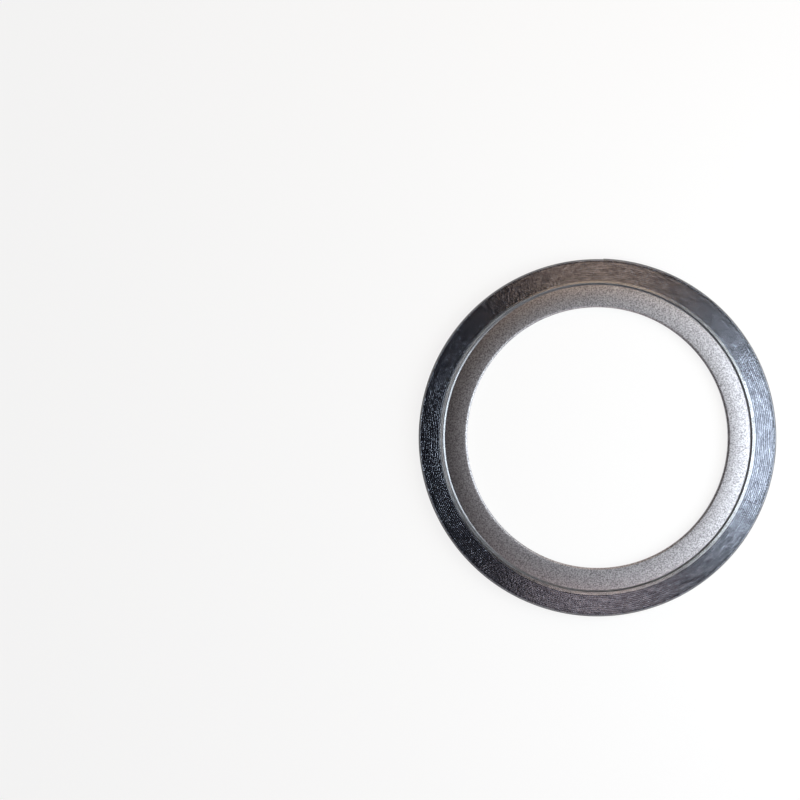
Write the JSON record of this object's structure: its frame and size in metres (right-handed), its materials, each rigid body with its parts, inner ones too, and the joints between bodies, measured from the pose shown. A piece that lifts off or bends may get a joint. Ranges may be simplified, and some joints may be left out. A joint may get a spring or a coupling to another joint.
{
  "type": "spiral wound gasket",
  "caption": "Round flange gasket: a spiral winding of V-formed steel and graphite strip on a solid steel inner ring, lying flat and used between two raised-face pipe flanges.",
  "frame": {"origin": "centre of the lower sealing face, on the gasket's axis", "axes": "+Z along the gasket's axis, up from the face it lies on; X and Y are alike, and the strip's spiral starts on the X axis"},
  "size_m": [0.1494, 0.1494, 0.0045],
  "materials": {
    "wound_strip": "edges of thin steel strip with dark graphite strip between them, fine spiral lines",
    "ring_steel": "matte, fine-grained plain steel with a soft edge at the bore"
  },
  "bodies": {
    "root": {"winding": "wound_strip", "inner_ring": "ring_steel"}
  },
  "joints": []
}
